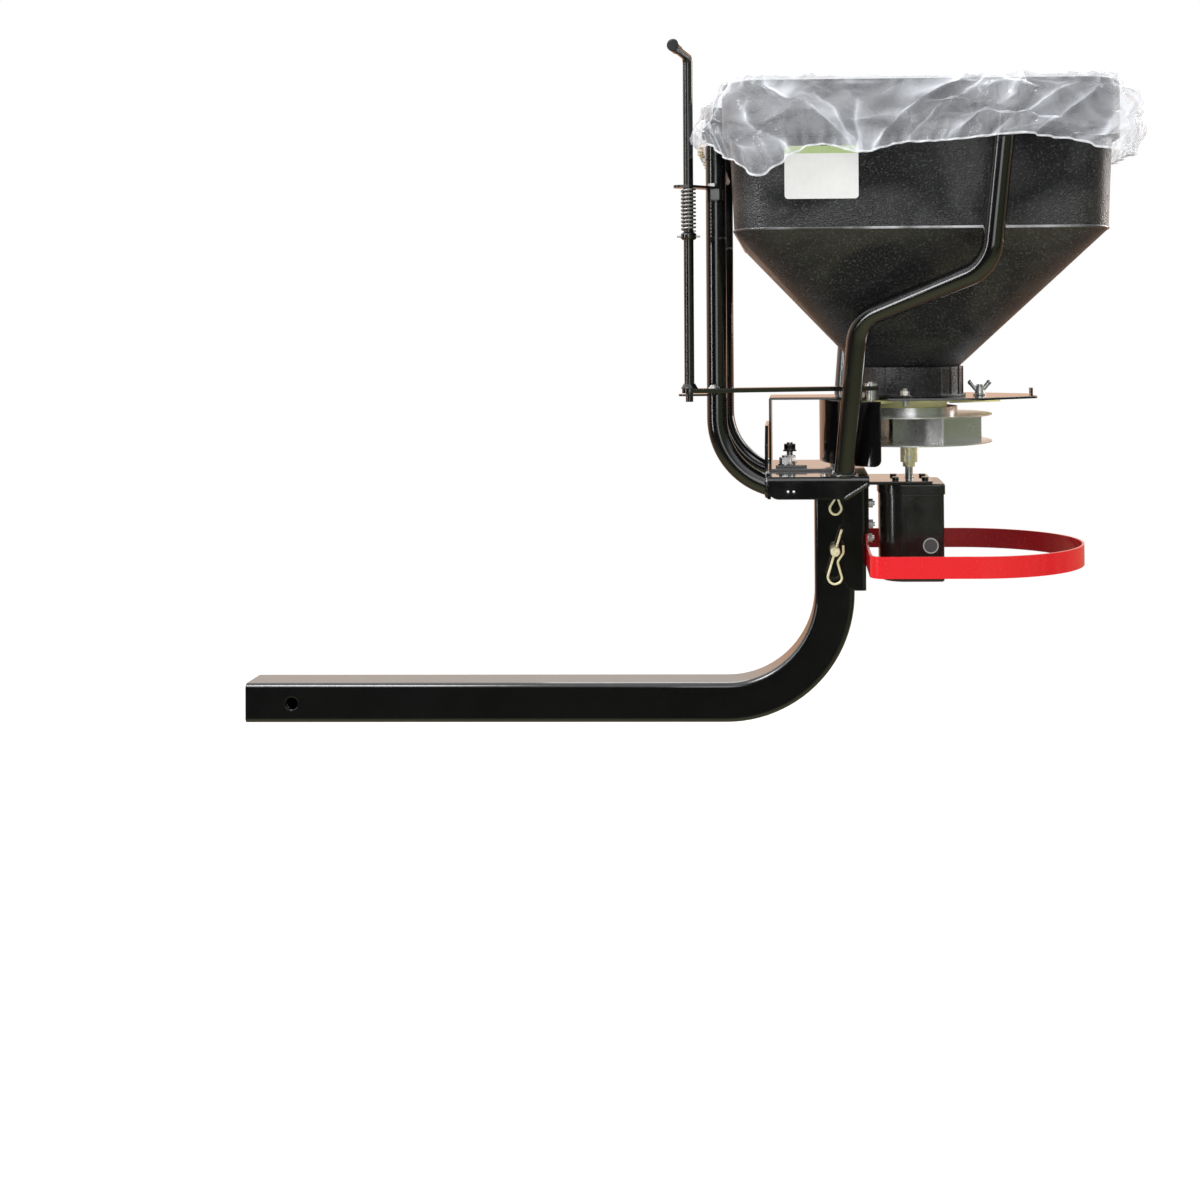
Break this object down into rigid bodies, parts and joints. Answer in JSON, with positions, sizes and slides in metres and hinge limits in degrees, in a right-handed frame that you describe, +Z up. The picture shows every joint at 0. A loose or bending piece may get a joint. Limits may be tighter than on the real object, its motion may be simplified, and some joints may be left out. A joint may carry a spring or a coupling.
{
  "type": "hitch-mounted broadcast spreader",
  "caption": "Electric broadcast spreader on a bent receiver shank: square hopper on a tube frame, gate lever, spinner with gear motor, red guard hoop and clear rain cover.",
  "frame": {"origin": "centre of the hitch-pin hole in the receiver shank", "axes": "+X along the shank away from the vehicle, +Y across it (the control rod is on the -Y side), +Z up"},
  "size_m": [1.118, 0.548, 0.842],
  "materials": {
    "black_powder_coat": "gloss black powder coat",
    "black_poly": "fine textured moulded polyethylene",
    "black_moulding": "satin moulded plastic",
    "black_rubber": "matte rubber",
    "stainless": "satin stainless sheet",
    "zinc": "bright zinc plate",
    "yellow_zinc": "yellow zinc plate",
    "spring_steel": "blackened spring wire",
    "red_paint": "gloss red paint",
    "cream_nylon": "natural moulded nylon",
    "white_label": "satin label stock",
    "grey_label": "satin label stock",
    "clear_film": "clear soft film",
    "gear_housing": "painted die casting"
  },
  "bodies": {
    "frame": {"back_channel": "black_powder_coat", "cable_grommet": "black_rubber", "centre_bush": "cream_nylon", "channel_fasteners": "zinc", "dc_motor": "gear_housing", "foot_bolts": "zinc", "foot_lock_nut": "black_powder_coat", "foot_nuts": "zinc", "foot_strap": "black_powder_coat", "frame_base": "black_powder_coat", "frame_stub_post": "black_powder_coat", "front_cross_tube": "black_powder_coat", "front_gusset": "black_powder_coat", "front_post_left": "black_powder_coat", "front_post_right": "black_powder_coat", "gate_fasteners": "zinc", "gearbox": "gear_housing", "guard_hoop": "red_paint", "guide_bolt": "zinc", "guide_clamp": "black_powder_coat", "hairpin_clips": "yellow_zinc", "hopper": "black_poly", "hopper_fasteners": "black_powder_coat", "hopper_label": "white_label", "lock_pins": "yellow_zinc", "lower_rod_tab": "black_powder_coat", "motor_cap": "black_moulding", "motor_cover": "black_moulding", "motor_mount": "black_powder_coat", "motor_screws": "black_powder_coat", "motor_sticker": "grey_label", "outlet_bracket": "black_powder_coat", "outlet_collar": "black_poly", "rear_support_left": "black_powder_coat", "rear_support_right": "black_powder_coat", "receiver_shank": "black_powder_coat", "rod_guide": "black_powder_coat", "spinner_shield": "black_powder_coat", "tube_end_plugs": "black_moulding"},
    "spinner": {"spinner_top_disc": "stainless", "spinner_bottom_disc": "stainless", "spinner_fins": "stainless", "spinner_ring": "stainless", "spinner_hub": "yellow_zinc", "hub_fasteners": "zinc", "spinner_shaft": "zinc", "agitator_wire": "stainless"},
    "control_lever": {"control_rod": "black_powder_coat", "lever_bar": "black_powder_coat", "rod_boss": "black_powder_coat", "lever_pin": "zinc", "lever_sleeve": "zinc", "handle_cap": "black_moulding", "rod_collar": "black_powder_coat", "rod_fasteners": "zinc", "rod_spring": "spring_steel"},
    "shutter": {"shutter": "cream_nylon"},
    "gate_stop": {"stop_bolt": "zinc"},
    "wing_nut": {"wing_nut": "zinc"},
    "cover": {"rain_cover": "clear_film"}
  },
  "joints": [
    {"name": "spinner_spin", "type": "hinge", "parent": "frame", "child": "spinner", "pos_m": [0.801, 0, 0.34], "axis": [0, 0, 1], "continuous": true},
    {"name": "control_turn", "type": "hinge", "parent": "frame", "child": "control_lever", "pos_m": [0.526, -0.13, 0.4], "axis": [0, 0, 1], "range_deg": [0, 6.5]},
    {"name": "shutter_turn", "type": "hinge", "parent": "frame", "child": "shutter", "pos_m": [0.801, 0, 0.387], "axis": [0, 0, 1], "range_deg": [-13.9, 0]},
    {"name": "stop_shift", "type": "hinge", "parent": "frame", "child": "gate_stop", "pos_m": [0.801, 0, 0.39], "axis": [0, 0, 1], "range_deg": [-12, 0]},
    {"name": "wing_nut_turn", "type": "hinge", "parent": "gate_stop", "child": "wing_nut", "pos_m": [0.89287, -0.00481, 0.3924], "axis": [0, 0, 1], "range_deg": [0, 180]},
    {"name": "cover_lift", "type": "slide", "parent": "frame", "child": "cover", "axis": [0, 0, 1], "range_m": [0, 0.18]}
  ],
  "couplings": [
    {"joint": "shutter_turn", "follows": "control_turn", "ratio": -2.137}
  ]
}
